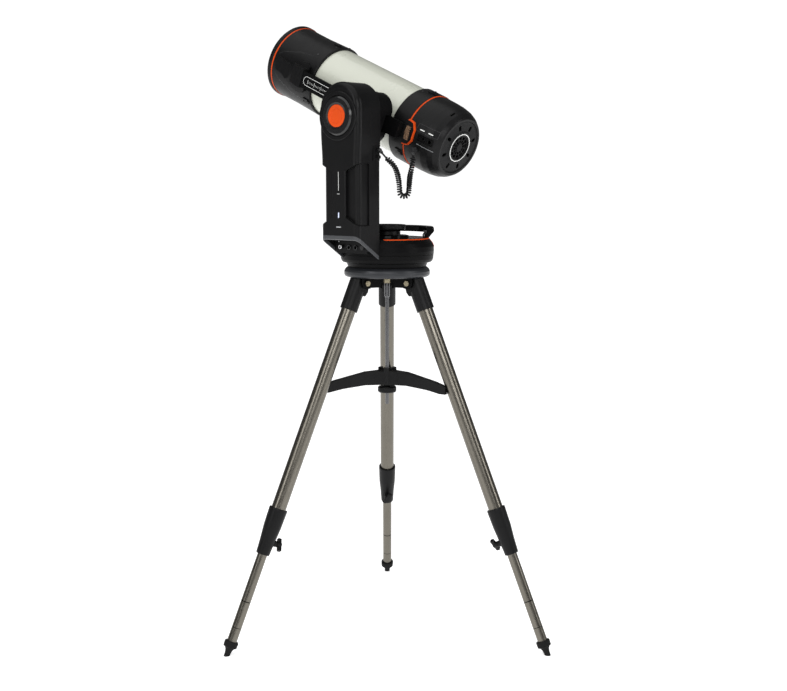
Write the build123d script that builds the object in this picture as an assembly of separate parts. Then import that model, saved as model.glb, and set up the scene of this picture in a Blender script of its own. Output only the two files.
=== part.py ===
"""Computerised single-arm telescope on a folding tripod, modelled in millimetres.

The origin is on the ground under the azimuth axis, with +Z up. The rear tripod leg points to +Y.
Every separate piece is one node, written to parts/NODE.step.
"""
from build123d import *
from math import cos, pi, radians, sin, sqrt, tan
import os

# ---------------------------------------------------------------- driving dimensions
# Tripod
FOOT_RADIUS = 469.5          # from the azimuth axis to a foot's tip
LEG_LEAN = 22.376            # degrees from vertical with the legs open
LEG_ANGLES = (210.0, 330.0, 90.0)
LEG_FOLD = 19.0              # degrees that a leg folds in
HINGE_RADIUS, HINGE_Z = 71.0, 929.0
BOLT_R = 4.0
UPPER_TUBE_R, UPPER_TUBE_WALL = 19.05, 1.6
LOWER_TUBE_R, LOWER_TUBE_WALL = 12.7, 1.2
SOCKET_R = 23.0
HEAD_Z, HEAD_TOP_Z = 945.0, 970.0
HEAD_R = 112.0
ROD_R, ROD_END_Z = 4.75, 605.0
RUNNING_GAP = 0.05           # radial clearance of a shaft in its hole
FACE_GAP = 0.3               # side clearance between parts that turn past each other

# Mount: the azimuth axis is Z; the arm stands on the -y side of the mount's own frame
MOUNT_TURN = -39.9           # degrees about Z from the world frame to the mount's frame
LOWER_BASE_TOP_Z = 1002.7
BASE_Z, DECK_Z = 1003.3, 1046.0
BASE_R = 122.5
WALL = 3.2
PIVOT_Z = 1351.0             # height of the altitude axis
ARM_OUTER_Y, ARM_INNER_Y = -188.0, -104.0
ARM_SEAM_Y = -141.0
ARM_HALF_WIDTH = 62.0
CORE_HALF_WIDTH, CORE_OUTER_Y = 58.0, -178.0   # the arm between its two hand recesses
SPINE_HALF_WIDTH = 22.0
ARM_HEAD_HALF_WIDTH, ARM_TOP_CENTER_Z = 66.0, 1369.0   # upright sides, then a round top
SPINDLE_R = 12.0
KNOB_R, KNOB_FACE_Y = 48.0, -196.0
WORM_R = 9.0
WORM_WHEEL_TEETH = 60
PORT_BLOCK_X = 65.0          # face of the small socket block on the arm's rear side

# Optical tube: its own frame has x along the axis to the rear, with x = 0 beside the altitude axis
TUBE_Y = 75.0                # from the azimuth axis to the optical axis
TUBE_TILT = 23.2             # degrees that the front stands above the horizon
TUBE_R, TUBE_WALL = 92.5, 2.0
FRONT_RIM_X, FRONT_CELL_X = -436.5, -263.0
REAR_CELL_X, REAR_RING_X = 35.0, 86.0
REAR_FACE_X = 194.0
CORRECTOR_X = -345.0
RIM_BORE_R = 90.0

# Curly cable between the arm and the tube: centre line of its coil, from the arm to the tube
COIL_R = 7.4
COIL_ROUTE = [(-12.30, -139.62, 1260.88), (-5.3, -145.5, 1251.7), (8.5, -148.0, 1239.5),
              (21.0, -147.0, 1225.0), (28.0, -143.0, 1202.0), (31.0, -137.0, 1179.0), (32.0, -132.0, 1154.0),
              (53.0, -125.0, 1154.0), (55.5, -119.0, 1178.0), (57.0, -109.0, 1202.0), (62.0, -99.0, 1222.0),
              (65.0, -95.5, 1240.0), (65.0, -95.5, 1257.0)]

MOUNT = Rot(0, 0, MOUNT_TURN)
TUBE = MOUNT * Pos(0, TUBE_Y, PIVOT_Z) * Rot(0, TUBE_TILT, 0)
ACROSS_ARM = Pos(0, 0, PIVOT_Z) * Rot(-90, 0, 0)   # a turned part's z axis laid along the altitude axis

parts = {}


# ---------------------------------------------------------------- helpers
def lathe(outline, angle=360.0):
    """Solid turned about Z from a closed (radius, height) outline."""
    return revolve(make_face(Plane.XZ * Polyline(*outline, close=True)), Axis.Z, angle)


def cyl(radius, low, high, x=0.0, y=0.0):
    return Pos(x, y, (low + high) / 2) * Cylinder(radius, high - low)


def ring(inner, outer, low, high):
    return cyl(outer, low, high) - cyl(inner, low - 1, high + 1)


def box(x0, x1, y0, y1, z0, z1):
    return Pos((x0 + x1) / 2, (y0 + y1) / 2, (z0 + z1) / 2) * Box(x1 - x0, y1 - y0, z1 - z0)


def slab(outline, plane, low, high):
    """Closed outline in a plane, pushed from low to high along the plane's normal."""
    face = make_face(plane.offset(low) * Polyline(*outline, close=True))
    return extrude(face, high - low, dir=plane.z_dir)


def x_cyl(radius, low, high, y=0.0, z=0.0):
    return Pos((low + high) / 2, y, z) * Rot(0, 90, 0) * Cylinder(radius, high - low)


def y_cyl(radius, low, high, x=0.0, z=0.0):
    return Pos(x, (low + high) / 2, z) * Rot(90, 0, 0) * Cylinder(radius, high - low)


def hexagon(across, low, high):
    return extrude(Pos(0, 0, low) * RegularPolygon(across / sqrt(3), 6), high - low)


def group(solids):
    return Compound(children=list(solids))


def toothed_wheel(root, tip, bore, low, high):
    """Worm wheel with plain straight teeth."""
    outline = []
    step = 2 * pi / WORM_WHEEL_TEETH
    for tooth in range(WORM_WHEEL_TEETH):
        for share, radius in ((0.0, root), (0.2, tip), (0.45, tip), (0.65, root)):
            turn = (tooth + share) * step
            outline.append((radius * cos(turn), radius * sin(turn)))
    return slab(outline, Plane.XY, low, high) - cyl(bore, low - 1, high + 1)


def worm(length):
    """Worm along Z: a core with thread ridges, on a thin shaft."""
    solid = cyl(6.5, -length / 2, length / 2) + cyl(3.0, -length / 2 - 6, length / 2 + 6)
    pitch = 4.0
    ridges = int(length / pitch) - 1
    for number in range(ridges):
        middle = (number - (ridges - 1) / 2) * pitch
        solid += lathe([(6.0, middle - 1.6), (WORM_R, middle - 0.6), (WORM_R, middle + 0.6),
                        (6.0, middle + 1.6)])
    return solid


# ---------------------------------------------------------------- tripod head
def polar(radius, angle, z=0.0):
    return radius * cos(radians(angle)), radius * sin(radians(angle)), z


def make_head():
    screw_r, screw_circle = 3.0, 78.0
    plate = lathe([(8.0, 948), (60, 948), (62, HEAD_Z), (107, HEAD_Z), (HEAD_R - 1, 948), (HEAD_R, 952),
                   (HEAD_R, 959), (HEAD_R - 2, 964), (106, 968), (103, HEAD_TOP_Z), (8.0, HEAD_TOP_Z)])
    cheek_in, cheek_out = 13.8, 20.0
    yoke = cyl(38, 930, HEAD_Z) + cyl(60, 938, 948)
    bolts = []
    for angle in LEG_ANGLES:
        side = [(-15, 16), (-15, -4), (-11, -13), (0, -15), (11, -11), (15, 0), (15, 16)]
        lug = slab(side, Plane.XZ, -cheek_out, cheek_out)
        lug = Pos(HINGE_RADIUS, 0, HINGE_Z) * lug
        lug += box(30, 57, -cheek_out, cheek_out, HINGE_Z - 12, HEAD_Z)
        slot = box(52, 100, -cheek_in, cheek_in, HINGE_Z - 30, HEAD_Z + 1)
        lug = lug - slot - y_cyl(BOLT_R, -30, 30, HINGE_RADIUS, HINGE_Z)
        yoke += Rot(0, 0, angle) * lug
        shank = cyl(BOLT_R, -cheek_out - 7, cheek_out)
        head = hexagon(13, cheek_out, cheek_out + 5.3)
        nut = hexagon(13, -cheek_out - 6, -cheek_out)
        bolt = Pos(HINGE_RADIUS, 0, HINGE_Z) * Rot(90, 0, 0) * (shank + head + nut)
        bolts.append(Rot(0, 0, angle) * bolt)
    yoke -= cyl(7.0, 900, 960)
    for angle in LEG_ANGLES:
        x, y, _ = polar(screw_circle, angle + 60)
        plate -= cyl(screw_r, 940, 980, x, y)
        knob = cyl(9, 933, HEAD_Z, x, y) + cyl(screw_r, HEAD_Z, HEAD_TOP_Z + 6, x, y)
        bolts.append(knob)
    parts["tripod_head"] = plate
    parts["hinge_yoke"] = yoke
    parts["tripod_bolts"] = group(bolts)
    rod = lathe([(0, ROD_END_Z), (ROD_R - 0.8, ROD_END_Z), (ROD_R, ROD_END_Z + 1), (ROD_R, 888), (7.0, 892),
                 (7.0, 952), (8.0, 953), (8.0, 984), (0, 984)])
    parts["center_rod"] = rod


# ---------------------------------------------------------------- legs, in a frame with z up the leg
def leg_place(angle):
    return Rot(0, 0, angle) * Pos(FOOT_RADIUS, 0, 0) * Rot(0, -LEG_LEAN, 0)


def up_leg(height):
    """Distance up the leg's axis of a height above the ground."""
    return height / cos(radians(LEG_LEAN))


def make_leg(number, angle):
    place = leg_place(angle)
    node = f"leg_{number}_"
    ground = Rot(0, 0, angle) * Pos(FOOT_RADIUS, 0, -50) * Box(200, 200, 100)
    collar_low, collar_high = up_leg(20), up_leg(36)
    foot = lathe([(0, -6), (7.5, -6), (7.8, 8), (9.5, 16), (13, collar_low), (17.5, collar_low + 2),
                  (18, collar_high - 3), (16.5, collar_high), (LOWER_TUBE_R, collar_high),
                  (LOWER_TUBE_R, collar_low + 5), (0, collar_low + 5)])
    parts[node + "foot"] = place * foot - ground

    clamp_low, clamp_high = up_leg(250), up_leg(363)
    upper_end = clamp_low + 42
    lower_top = clamp_low + 230
    parts[node + "lower_tube"] = place * ring(LOWER_TUBE_R - LOWER_TUBE_WALL, LOWER_TUBE_R, collar_low + 5,
                                              lower_top)
    socket_low, tube_top = up_leg(861), up_leg(861) + 45
    parts[node + "upper_tube"] = place * ring(UPPER_TUBE_R - UPPER_TUBE_WALL, UPPER_TUBE_R, upper_end,
                                              tube_top)

    bore = LOWER_TUBE_R + RUNNING_GAP
    clamp = lathe([(bore, clamp_low), (17.0, clamp_low), (17.6, clamp_low + 2), (19.5, clamp_low + 35),
                   (22.8, clamp_low + 72), (24.0, clamp_high - 4), (23.6, clamp_high),
                   (UPPER_TUBE_R, clamp_high), (UPPER_TUBE_R, upper_end), (bore, upper_end)])
    stud_z = clamp_low + 33
    boss = x_cyl(8, -26, -bore - 1.5, z=stud_z)
    clamp = clamp + boss - x_cyl(BOLT_R + RUNNING_GAP, -40, 0, z=stud_z) - cyl(bore, clamp_low - 1,
                                                                               upper_end)
    parts[node + "clamp"] = place * clamp
    wing = Rot(90, 0, 0) * Box(34, 9, 9) + cyl(7.5, -4, 9)
    grip = Pos(-37, 0, stud_z) * Rot(0, 90, 0) * Rot(0, 0, 35) * wing
    stud = x_cyl(BOLT_R, -34, -LOWER_TUBE_R - FACE_GAP, z=stud_z)
    parts[node + "clamp_knob"] = place * (grip + stud)

    pivot = Pos(HINGE_RADIUS, 0, HINGE_Z)
    sleeve = place * cyl(SOCKET_R, socket_low, up_leg(HEAD_Z) + 30)
    sleeve = Rot(0, 0, -angle) * sleeve
    sleeve -= Pos(0, 0, HEAD_Z - 0.6 + 50) * Box(600, 600, 100)
    sleeve -= pivot * Rot(90, 0, 0) * Cylinder(24.5, 100)
    sleeve -= box(0, HINGE_RADIUS - 2, -60, 60, HINGE_Z - 16, 1000)
    web = slab([(0, 12.5), (26, 12.5), (27, -30), (2, -34), (-6, -24), (-12, 0)], Plane.XZ, -13.5, 13.5)
    eye = pivot * (web + Rot(90, 0, 0) * Cylinder(12.5, 27))
    socket = sleeve + eye - pivot * Rot(90, 0, 0) * Cylinder(BOLT_R + RUNNING_GAP, 100)
    socket = Rot(0, 0, angle) * socket
    parts[node + "socket"] = socket - place * cyl(UPPER_TUBE_R, socket_low - 5, tube_top)


# ---------------------------------------------------------------- spreader and its tension knob
def make_spreader():
    turn = -5.0              # the arms bear on the legs a few degrees to one side
    hub_r, tip_gap = 24.0, 0.4
    spreader = cyl(hub_r, 659, 692)
    side = [(0, 659), (70, 661), (130, 655), (168, 648), (185, 648), (185, 668), (150, 678), (60, 694),
            (0, 696)]
    plan = [(0, -20), (40, -15), (150, -7), (190, -6.5), (190, 6.5), (150, 7), (40, 15), (0, 20)]
    legs = []
    for angle in LEG_ANGLES:
        arm = slab(side, Plane.XZ, -30, 30) & slab(plan, Plane.XY, 600, 750)
        spreader += Rot(0, 0, angle + turn) * arm
        legs.append(leg_place(angle) * cyl(UPPER_TUBE_R + tip_gap, up_leg(500), up_leg(800)))
        clip = box(8, 24, -4, 4, 690, 700) + box(18, 24, -7, 7, 690, 703)
        spreader += Rot(0, 0, angle + turn + 60) * clip
    for leg in legs:
        spreader -= leg
    spreader = max(spreader.solids(), key=lambda solid: solid.volume)
    spreader -= cyl(ROD_R + RUNNING_GAP, 600, 760)
    parts["leg_spreader"] = spreader
    grip = lathe([(0, 637), (22, 637), (24.5, 640), (24.5, 650), (22, 652.7), (10, 653.5), (10, 658.7),
                  (0, 658.7)])
    for number in range(18):
        x, y, _ = polar(25.6, number * 20.0)
        grip -= cyl(2.0, 630, 656, x, y)
    parts["tension_knob"] = grip - cyl(ROD_R + RUNNING_GAP, 600, 700)


# ---------------------------------------------------------------- mount base
def base_form(inset=0.0, low=BASE_Z, high=DECK_Z):
    """Outer form of the turning base, or the same form drawn in by inset."""
    return lathe([(0, low), (121.9 - inset, low), (BASE_R - inset, 1012), (BASE_R - 0.5 - inset, 1024),
                  (118.0 - inset, 1033), (110.0 - inset, 1043), (107.0 - inset, high), (0, high)])


def make_base():
    parts["mount_lower_base"] = lathe([
        (8.0, HEAD_TOP_Z), (101.5, HEAD_TOP_Z), (106.2, 981), (115.0, 983), (117.5, 985), (120.5, 991),
        (121.7, LOWER_BASE_TOP_Z), (117.5, LOWER_BASE_TOP_Z), (114.5, 987), (103, 985), (98, 977), (30, 977),
        (30, 1005), (8.0, 1005)])
    for angle in LEG_ANGLES:
        x, y, _ = polar(78.0, angle + 60)
        parts["mount_lower_base"] -= cyl(3.0, 960, HEAD_TOP_Z + 6, x, y)
    parts["azimuth_spindle"] = lathe([(8.05, 1005), (28, 1005), (28, 1011), (20, 1011), (20, 1046),
                                      (8.05, 1046)])
    parts["azimuth_worm_wheel"] = toothed_wheel(52.5, 55.0, 20.0, 1011, 1020)

    housing = base_form() - base_form(WALL, BASE_Z - 1, DECK_Z - WALL)
    housing += lathe([(20, 1024), (28, 1024), (28, DECK_Z), (57, DECK_Z), (56, 1051), (53, 1052),
                      (20, 1052)])
    housing -= cyl(20 + RUNNING_GAP, 1000, 1060)
    housing += lathe([(117.0, BASE_Z), (120.0, BASE_Z), (120.0, 1010), (118.0, 1010)])
    accent = make_accent()
    handle = make_handle()
    housing = housing + handle - accent
    parts["base_housing"] = MOUNT * housing
    parts["base_accent_band"] = MOUNT * accent

    knob = lathe([(0, 1030), (7.95, 1030), (7.95, 1053), (35, 1053), (35, 1062), (44, 1064), (48.5, 1068),
                  (50, 1076), (49, 1078.5), (46.5, 1079), (45, 1077), (42, 1071), (20, 1069), (14, 1072),
                  (0, 1072.5)])
    for number in range(24):
        x, y, _ = polar(51.0, number * 15.0)
        knob -= cyl(1.8, 1060, 1090, x, y)
    parts["azimuth_clutch_knob"] = MOUNT * knob

    battery = lathe([(64, 990), (106, 990), (106, 1038), (100, DECK_Z - WALL), (64, DECK_Z - WALL)],
                    angle=110)
    parts["battery_pack"] = MOUNT * Rot(0, 0, 35) * battery
    worm_y, wheel_z = -55.0 - WORM_R - FACE_GAP, 1015.5
    motor = x_cyl(11, 24, 68, worm_y, wheel_z) + box(20, 60, worm_y - 10, worm_y + 10, wheel_z,
                                                     DECK_Z - WALL)
    motor += box(20, 26, worm_y - 11, worm_y + 11, wheel_z - 11, wheel_z + 4)
    motor -= x_cyl(3.0 + RUNNING_GAP, 0, 27, worm_y, wheel_z)
    parts["azimuth_motor"] = MOUNT * motor
    parts["azimuth_worm"] = MOUNT * Pos(0, worm_y, wheel_z) * Rot(0, 90, 0) * worm(26)


def make_accent():
    """Thin coloured band: high on the arm's side, stepping down to run round the handle's side."""
    high = lathe([(106.0, 1042.4), (111.4, 1042.4), (109.2, 1044.9), (106.0, 1044.9)])
    low = lathe([(119.5, 1020.0), (123.0, 1020.0), (123.0, 1022.6), (119.5, 1022.6)])
    step = lathe([(106.0, 1044.9), (109.2, 1044.9), (118.9, 1033), (123.0, 1024), (123.0, 1020),
                  (119.5, 1020), (115.5, 1031), (107.5, 1041)], angle=2.4)
    start, end = 38.0, 142.0
    far_side = slab([(0, 0)] + [polar(200, a)[:2] for a in (start, 64.0, 90.0, 116.0, end)], Plane.XY, 990,
                    1060)
    arm_side = box(-90, 90, -200, -89, 990, 1060)
    band = (high - far_side - arm_side) + (low & far_side)
    band += Rot(0, 0, start - 1.2) * step
    band += Rot(0, 0, end - 1.2) * step
    return band


def make_handle():
    """Carry handle: an arc that stands off the deck on the side away from the arm."""
    sweep, start, post_sweep = 116.0, 32.0, 26.0
    bar = Rot(0, 0, start) * lathe([(103, 1060), (105, 1057.5), (120, 1057.5), (123, 1062), (122, 1071),
                                    (119, 1074), (106, 1074), (103, 1071)], angle=sweep)
    posts = []
    for angle in (start, start + sweep - post_sweep):
        post = lathe([(98, 1044), (108.5, 1044), (119, 1057), (121, 1062), (106, 1062), (98, 1052)],
                     angle=post_sweep)
        posts.append(Rot(0, 0, angle) * post)
    return bar + posts[0] + posts[1]


# ---------------------------------------------------------------- arm
RIM_SLOPE = 0.635            # rise of the arm's slanted lower rim towards its outer face
RIM_OUTER_Z = 1047.4         # height of that rim at the outer face
RIM_BAND = 9.0               # height of the separate band along the rim
SHOULDER_LOW_Z, SHOULDER_HIGH_Z = 1236.0, 1320.0
FACE_FILLET, CORE_FILLET = 15.0, 12.0
RECESS_LOW_Z, RECESS_HIGH_Z = 1055.0, 1262.0   # the hand recesses lie between these heights


def rim_z(y):
    return RIM_OUTER_Z + (ARM_OUTER_Y - y) * RIM_SLOPE


def under_rim(rise=0.0):
    """Everything under the slanted rim, or under a line a little above it."""
    far_y = -400.0
    side = [(far_y, rim_z(far_y) + rise), (0, rim_z(0) + rise), (0, 900), (far_y, 900)]
    return slab(side, Plane.YZ, -200, 200)


def arm_form(inset=0.0):
    """Outer form of the arm, or the same form drawn in by inset."""
    half, head_half = ARM_HALF_WIDTH - inset, ARM_HEAD_HALF_WIDTH - inset
    inner, outer = ARM_INNER_Y - inset, ARM_OUTER_Y + inset
    low_z, top_z = 985.0, ARM_TOP_CENTER_Z
    outline = Line((-half, low_z), (half, low_z)) + Line((half, low_z), (half, SHOULDER_LOW_Z))
    outline += Spline((half, SHOULDER_LOW_Z), (head_half, SHOULDER_HIGH_Z), tangents=[(0, 1), (0, 1)])
    outline += Line((head_half, SHOULDER_HIGH_Z), (head_half, top_z))
    outline += ThreePointArc((head_half, top_z), (0, top_z + head_half), (-head_half, top_z))
    outline += Line((-head_half, top_z), (-head_half, SHOULDER_HIGH_Z))
    outline += Spline((-head_half, SHOULDER_HIGH_Z), (-half, SHOULDER_LOW_Z), tangents=[(0, -1), (0, -1)])
    outline += Line((-half, SHOULDER_LOW_Z), (-half, low_z))
    face = make_face(Plane.XZ.offset(-inner) * outline)
    form = extrude(face, inner - outer, dir=Plane.XZ.z_dir)
    front = form.edges().filter_by_position(Axis.Y, outer - 0.01, outer + 0.01)
    front = front.filter_by_position(Axis.Z, low_z + 1, 2000)
    return fillet(front, FACE_FILLET - inset)


def arm_core(inset=0.0):
    """Core of the arm between its two hand recesses."""
    half, outer = CORE_HALF_WIDTH - inset, CORE_OUTER_Y + inset
    core = box(-half, half, outer, ARM_INNER_Y + 5, RECESS_LOW_Z - 10, RECESS_HIGH_Z + 10)
    return fillet(core.edges().filter_by(Axis.Z).group_by(Axis.Y)[0], CORE_FILLET - inset)


def hand_recesses():
    """Hand recesses on both sides of the arm's spine, with slanted ends."""
    edge, back_y, chamfer = SPINE_HALF_WIDTH, ARM_SEAM_Y - 2, 2.5
    blocks = []
    for side in (1, -1):
        plan = [(side * edge, back_y), (side * edge, ARM_OUTER_Y + chamfer),
                (side * (edge - chamfer), ARM_OUTER_Y), (side * (edge - chamfer), -260), (side * 100, -260),
                (side * 100, back_y)]
        window = [(side * (edge - 4), 1104), (side * (edge - 4), 1214), (side * 100, 1253),
                  (side * 100, 1064), (side * 55, 1084)]
        blocks.append(slab(plan, Plane.XY, RECESS_LOW_Z, RECESS_HIGH_Z) & slab(window, Plane.XZ, 120, 270))
    return blocks[0] + blocks[1] - arm_core()


def make_arm():
    beside_core = box(-100, 100, -260, ARM_SEAM_Y - 2 + WALL, RECESS_LOW_Z, RECESS_HIGH_Z) - arm_core(WALL)
    hollow = arm_form(WALL) - beside_core
    shell = arm_form() - hand_recesses() - hollow - under_rim() - base_form(0.0, 960, DECK_Z)
    recess_r, recess_y, hole_r = KNOB_R + 1.2, -178.0, SPINDLE_R + 0.5
    collar = lathe([(hole_r, recess_y + 3), (60, recess_y + 3), (60, -190.5), (58.5, -192),
                    (recess_r + 1.3, -192), (recess_r, -190.5), (recess_r, recess_y), (hole_r, recess_y)])
    shell = shell - ACROSS_ARM * cyl(recess_r, -260, recess_y) + ACROSS_ARM * collar
    shell -= ACROSS_ARM * cyl(hole_r, -260, -90)
    band_zone = under_rim(RIM_BAND)
    parts["arm_rim_band"] = MOUNT * (shell & band_zone)
    shell -= band_zone
    outer_half = box(-300, 300, -400, ARM_SEAM_Y, 900, 1600)
    parts["arm_outer_shell"] = MOUNT * (shell & outer_half)
    bush = ACROSS_ARM * ring(SPINDLE_R + RUNNING_GAP, 20, ARM_SEAM_Y + 3, ARM_INNER_Y)
    socket_block = box(ARM_HALF_WIDTH - 2.5, PORT_BLOCK_X, -130, -106, 1242, 1278)
    inner = (shell - outer_half) - ACROSS_ARM * cyl(19.9, ARM_SEAM_Y + 2, -99) + bush + socket_block
    parts["arm_inner_shell"] = MOUNT * inner
    make_port_panel()

    worm_z = PIVOT_Z - 50.0 - WORM_R - FACE_GAP
    worm_y = -147.0
    motor = x_cyl(11, 23, 50, worm_y, worm_z) + box(20, 26, worm_y - 12, worm_y + 12, worm_z - 12,
                                                    worm_z + 12)
    motor += box(20, 46, worm_y, ARM_INNER_Y - WALL, worm_z - 5, worm_z + 5)
    motor -= x_cyl(3.0 + RUNNING_GAP, 0, 27, worm_y, worm_z)
    parts["altitude_motor"] = MOUNT * motor
    parts["altitude_worm"] = MOUNT * Pos(0, worm_y, worm_z) * Rot(0, 90, 0) * worm(26)


def make_port_panel():
    """Recessed socket panel under the rim, with a ceiling above it and a sill down to the base."""
    back_y, sheet, low_z, ceiling_z = -134.0, 3.0, 1010.0, 1049.0
    face_y = back_y - sheet
    room = ARM_HALF_WIDTH - WALL
    panel = box(-room, room, face_y, back_y, rim_z(face_y), ceiling_z + sheet)
    panel += box(-49, 49, face_y, back_y, low_z, rim_z(face_y) + 1)
    panel += box(-room, room, ARM_OUTER_Y, back_y, ceiling_z, ceiling_z + sheet) & arm_form(WALL)
    panel += box(-49, 49, back_y, -100, low_z, low_z + sheet) - base_form()
    button_x, button_r, socket_z = 34.0, 6.0, 1025.0
    for x in (-10.0, 11.5):
        panel += y_cyl(6.5, face_y - 2, face_y, x, socket_z)
        panel -= y_cyl(4.2, face_y - 9, back_y + 5, x, socket_z)
    panel += y_cyl(4.5, face_y - 9, face_y, -34, socket_z + 1)
    panel -= y_cyl(button_r + RUNNING_GAP, face_y - 2, back_y + 5, button_x, socket_z)
    parts["port_panel"] = MOUNT * panel
    parts["power_button"] = MOUNT * y_cyl(button_r, face_y - 3, back_y + 1, button_x, socket_z)


# ---------------------------------------------------------------- altitude drive and saddle
def across(y):
    """A place across the mount, as a distance along y in the tube's frame."""
    return y - TUBE_Y


def stadium(radius, low, high):
    """Upright stadium about the altitude axis, from low to high along y."""
    reach = 24.0
    solid = box(-radius, radius, low, high, -reach, reach)
    return solid + y_cyl(radius, low, high, 0, reach) + y_cyl(radius, low, high, 0, -reach)


def make_altitude():
    axis = TUBE * Rot(-90, 0, 0)
    flange_y = ARM_INNER_Y + FACE_GAP
    parts["altitude_spindle"] = axis * lathe([
        (0, across(-190)), (8, across(-190)), (8, across(-178)), (SPINDLE_R, across(-178)),
        (SPINDLE_R, across(flange_y)), (34, across(flange_y)), (34, across(-92)), (0, across(-92))])
    parts["altitude_worm_wheel"] = axis * toothed_wheel(47.5, 50.0, SPINDLE_R, across(-151), across(-143))
    knob = [(0, -190), (0, -193), (28.5, -193), (28.5, -195), (33, KNOB_FACE_Y), (44, KNOB_FACE_Y),
            (KNOB_R, -192), (KNOB_R, -180), (8.05, -180), (8.05, -190)]
    parts["altitude_clutch_knob"] = axis * lathe([(radius, across(y)) for radius, y in knob])
    disc = [(0, -193), (27.5, -193), (27.5, -195), (26.5, -195.6), (19, -195.6), (18.2, -194.8),
            (17.2, -194.8), (16.4, -195.6), (0, -195.6)]
    parts["altitude_knob_disc"] = axis * lathe([(radius, across(y)) for radius, y in disc])

    outer_face, bar_face = across(-92), across(-47)
    jaw_face = bar_face + 8
    saddle = stadium(43.0, outer_face, outer_face + 30) + stadium(41.5, outer_face + 30, jaw_face)
    saddle -= box(-50, 50, outer_face + 32, bar_face, -22.2, 22.2)
    saddle -= slab([(bar_face - 1, -22.2), (bar_face, -22.2), (bar_face + 13, -16.9), (bar_face + 13, 16.9),
                    (bar_face, 22.2), (bar_face - 1, 22.2)], Plane.YZ, -60, 60)
    saddle += box(-30, 30, outer_face + 30, bar_face, -22.2, 22.2)
    stud_x, stud_y, grip_z, tip_z = 26.0, bar_face + 3, -60.0, -22.6
    saddle -= cyl(BOLT_R + RUNNING_GAP, grip_z, tip_z + 2, stud_x, stud_y)
    saddle -= cyl(13.5, -90, grip_z + 1, stud_x, stud_y)
    parts["saddle_clamp"] = TUBE * saddle
    knob = cyl(BOLT_R, grip_z - 1, tip_z, stud_x, stud_y) + cyl(12, grip_z - 16, grip_z, stud_x, stud_y)
    for number in range(10):
        x, y, _ = polar(12.8, number * 36.0)
        knob -= cyl(1.8, grip_z - 20, grip_z + 2, stud_x + x, stud_y + y)
    parts["saddle_knob"] = TUBE * knob


# ---------------------------------------------------------------- optical tube, in its own frame
def along(solid):
    """A part turned about its z axis, laid along the tube's x axis."""
    return Rot(0, 90, 0) * solid


BAR_FRONT_X, BAR_REAR_X, BAR_HALF = -280.0, 79.7, 22.0
BUMP = [(80, -31), (93, -31), (105, -27), (114, -14), (114, 12), (104, 27), (93, 29), (80, 29)]


def make_bar():
    face = across(-47)
    bar = slab([(face, -BAR_HALF), (face, BAR_HALF), (face + 12, 17), (-98, 17), (-94, 20), (-94, -20),
                (-98, -17), (face + 12, -17)], Plane.YZ, BAR_FRONT_X, BAR_REAR_X)
    parts["dovetail_bar"] = TUBE * (bar - x_cyl(99.3, BAR_FRONT_X - 1, BAR_REAR_X + 1))


def arm_side(outline, depth_in, depth_out):
    """Outline of (x, z) points on the tube's arm side, pushed from one distance off the axis to another."""
    return slab(outline, Plane.XZ, depth_in, depth_out)


def grown(outline, amount):
    """The outline moved outwards from its own middle by about the amount."""
    middle_x = sum(x for x, z in outline) / len(outline)
    middle_z = sum(z for x, z in outline) / len(outline)
    result = []
    for x, z in outline:
        length = sqrt((x - middle_x) ** 2 + (z - middle_z) ** 2)
        result.append((x + (x - middle_x) * amount / length, z + (z - middle_z) * amount / length))
    return result


def make_front():
    cell = along(lathe([
        (TUBE_R, FRONT_CELL_X), (97.5, FRONT_CELL_X), (99.2, FRONT_CELL_X - 3), (98.2, -300), (97.0, -350),
        (97.6, -400), (98.4, -418), (95.8, -418), (95.8, -422), (98.6, -422), (100.6, -426), (100.6, -434),
        (98.5, FRONT_RIM_X), (92, FRONT_RIM_X), (RIM_BORE_R, -434.5), (RIM_BORE_R, -404),
        (88.5, -404), (88.5, -354), (79, -354),
        (79, CORRECTOR_X - 6), (86, CORRECTOR_X - 6), (86, CORRECTOR_X), (82, CORRECTOR_X), (82, -320),
        (89, -300), (TUBE_R - TUBE_WALL, -288), (TUBE_R, -285)]))
    pad = arm_side([(BAR_FRONT_X, -33), (BAR_FRONT_X, 33), (-296, 40), (-318, 36), (-345, 15), (-400, 20),
                    (-408, 6), (-404, -16), (-368, -22), (-330, -40), (-312, -46), (-292, -44)], 84, 126)
    crown = slab([(BAR_FRONT_X, -80), (BAR_FRONT_X, -123), (-292, -123.5), (-312, -117), (-345, -106),
                  (-385, -101), (-410, -99.4), (-410, -80)], Plane.XY, -60, 60)
    shoulder = along(cyl(108.0, -420, BAR_FRONT_X)) + box(-330, BAR_FRONT_X, -130, -80, -26, 26)
    pad = (pad & crown & shoulder) - along(cyl(96.5, -420, -260))
    tabs = None
    for turn in (8.0, 128.0, 248.0):
        tab = box(-292, -272, -7, 7, 97, 101.5) + box(-276, -268, -4, 4, 97, 103.0)
        tab = Rot(turn, 0, 0) * tab
        tabs = tab if tabs is None else tabs + tab
    parts["front_cell"] = TUBE * (cell + pad + tabs)
    parts["corrector_plate"] = TUBE * along(ring(20.0, 86.0, CORRECTOR_X - 6, CORRECTOR_X))
    camera = lathe([(0, -398), (26, -398), (29, -395), (29, -360), (27, -354), (27, -351), (20, -351),
                    (20, CORRECTOR_X), (25, CORRECTOR_X), (25, -334), (21, -330), (17, -330), (16, -333),
                    (0, -333)])
    parts["camera_module"] = TUBE * along(camera)


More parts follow.
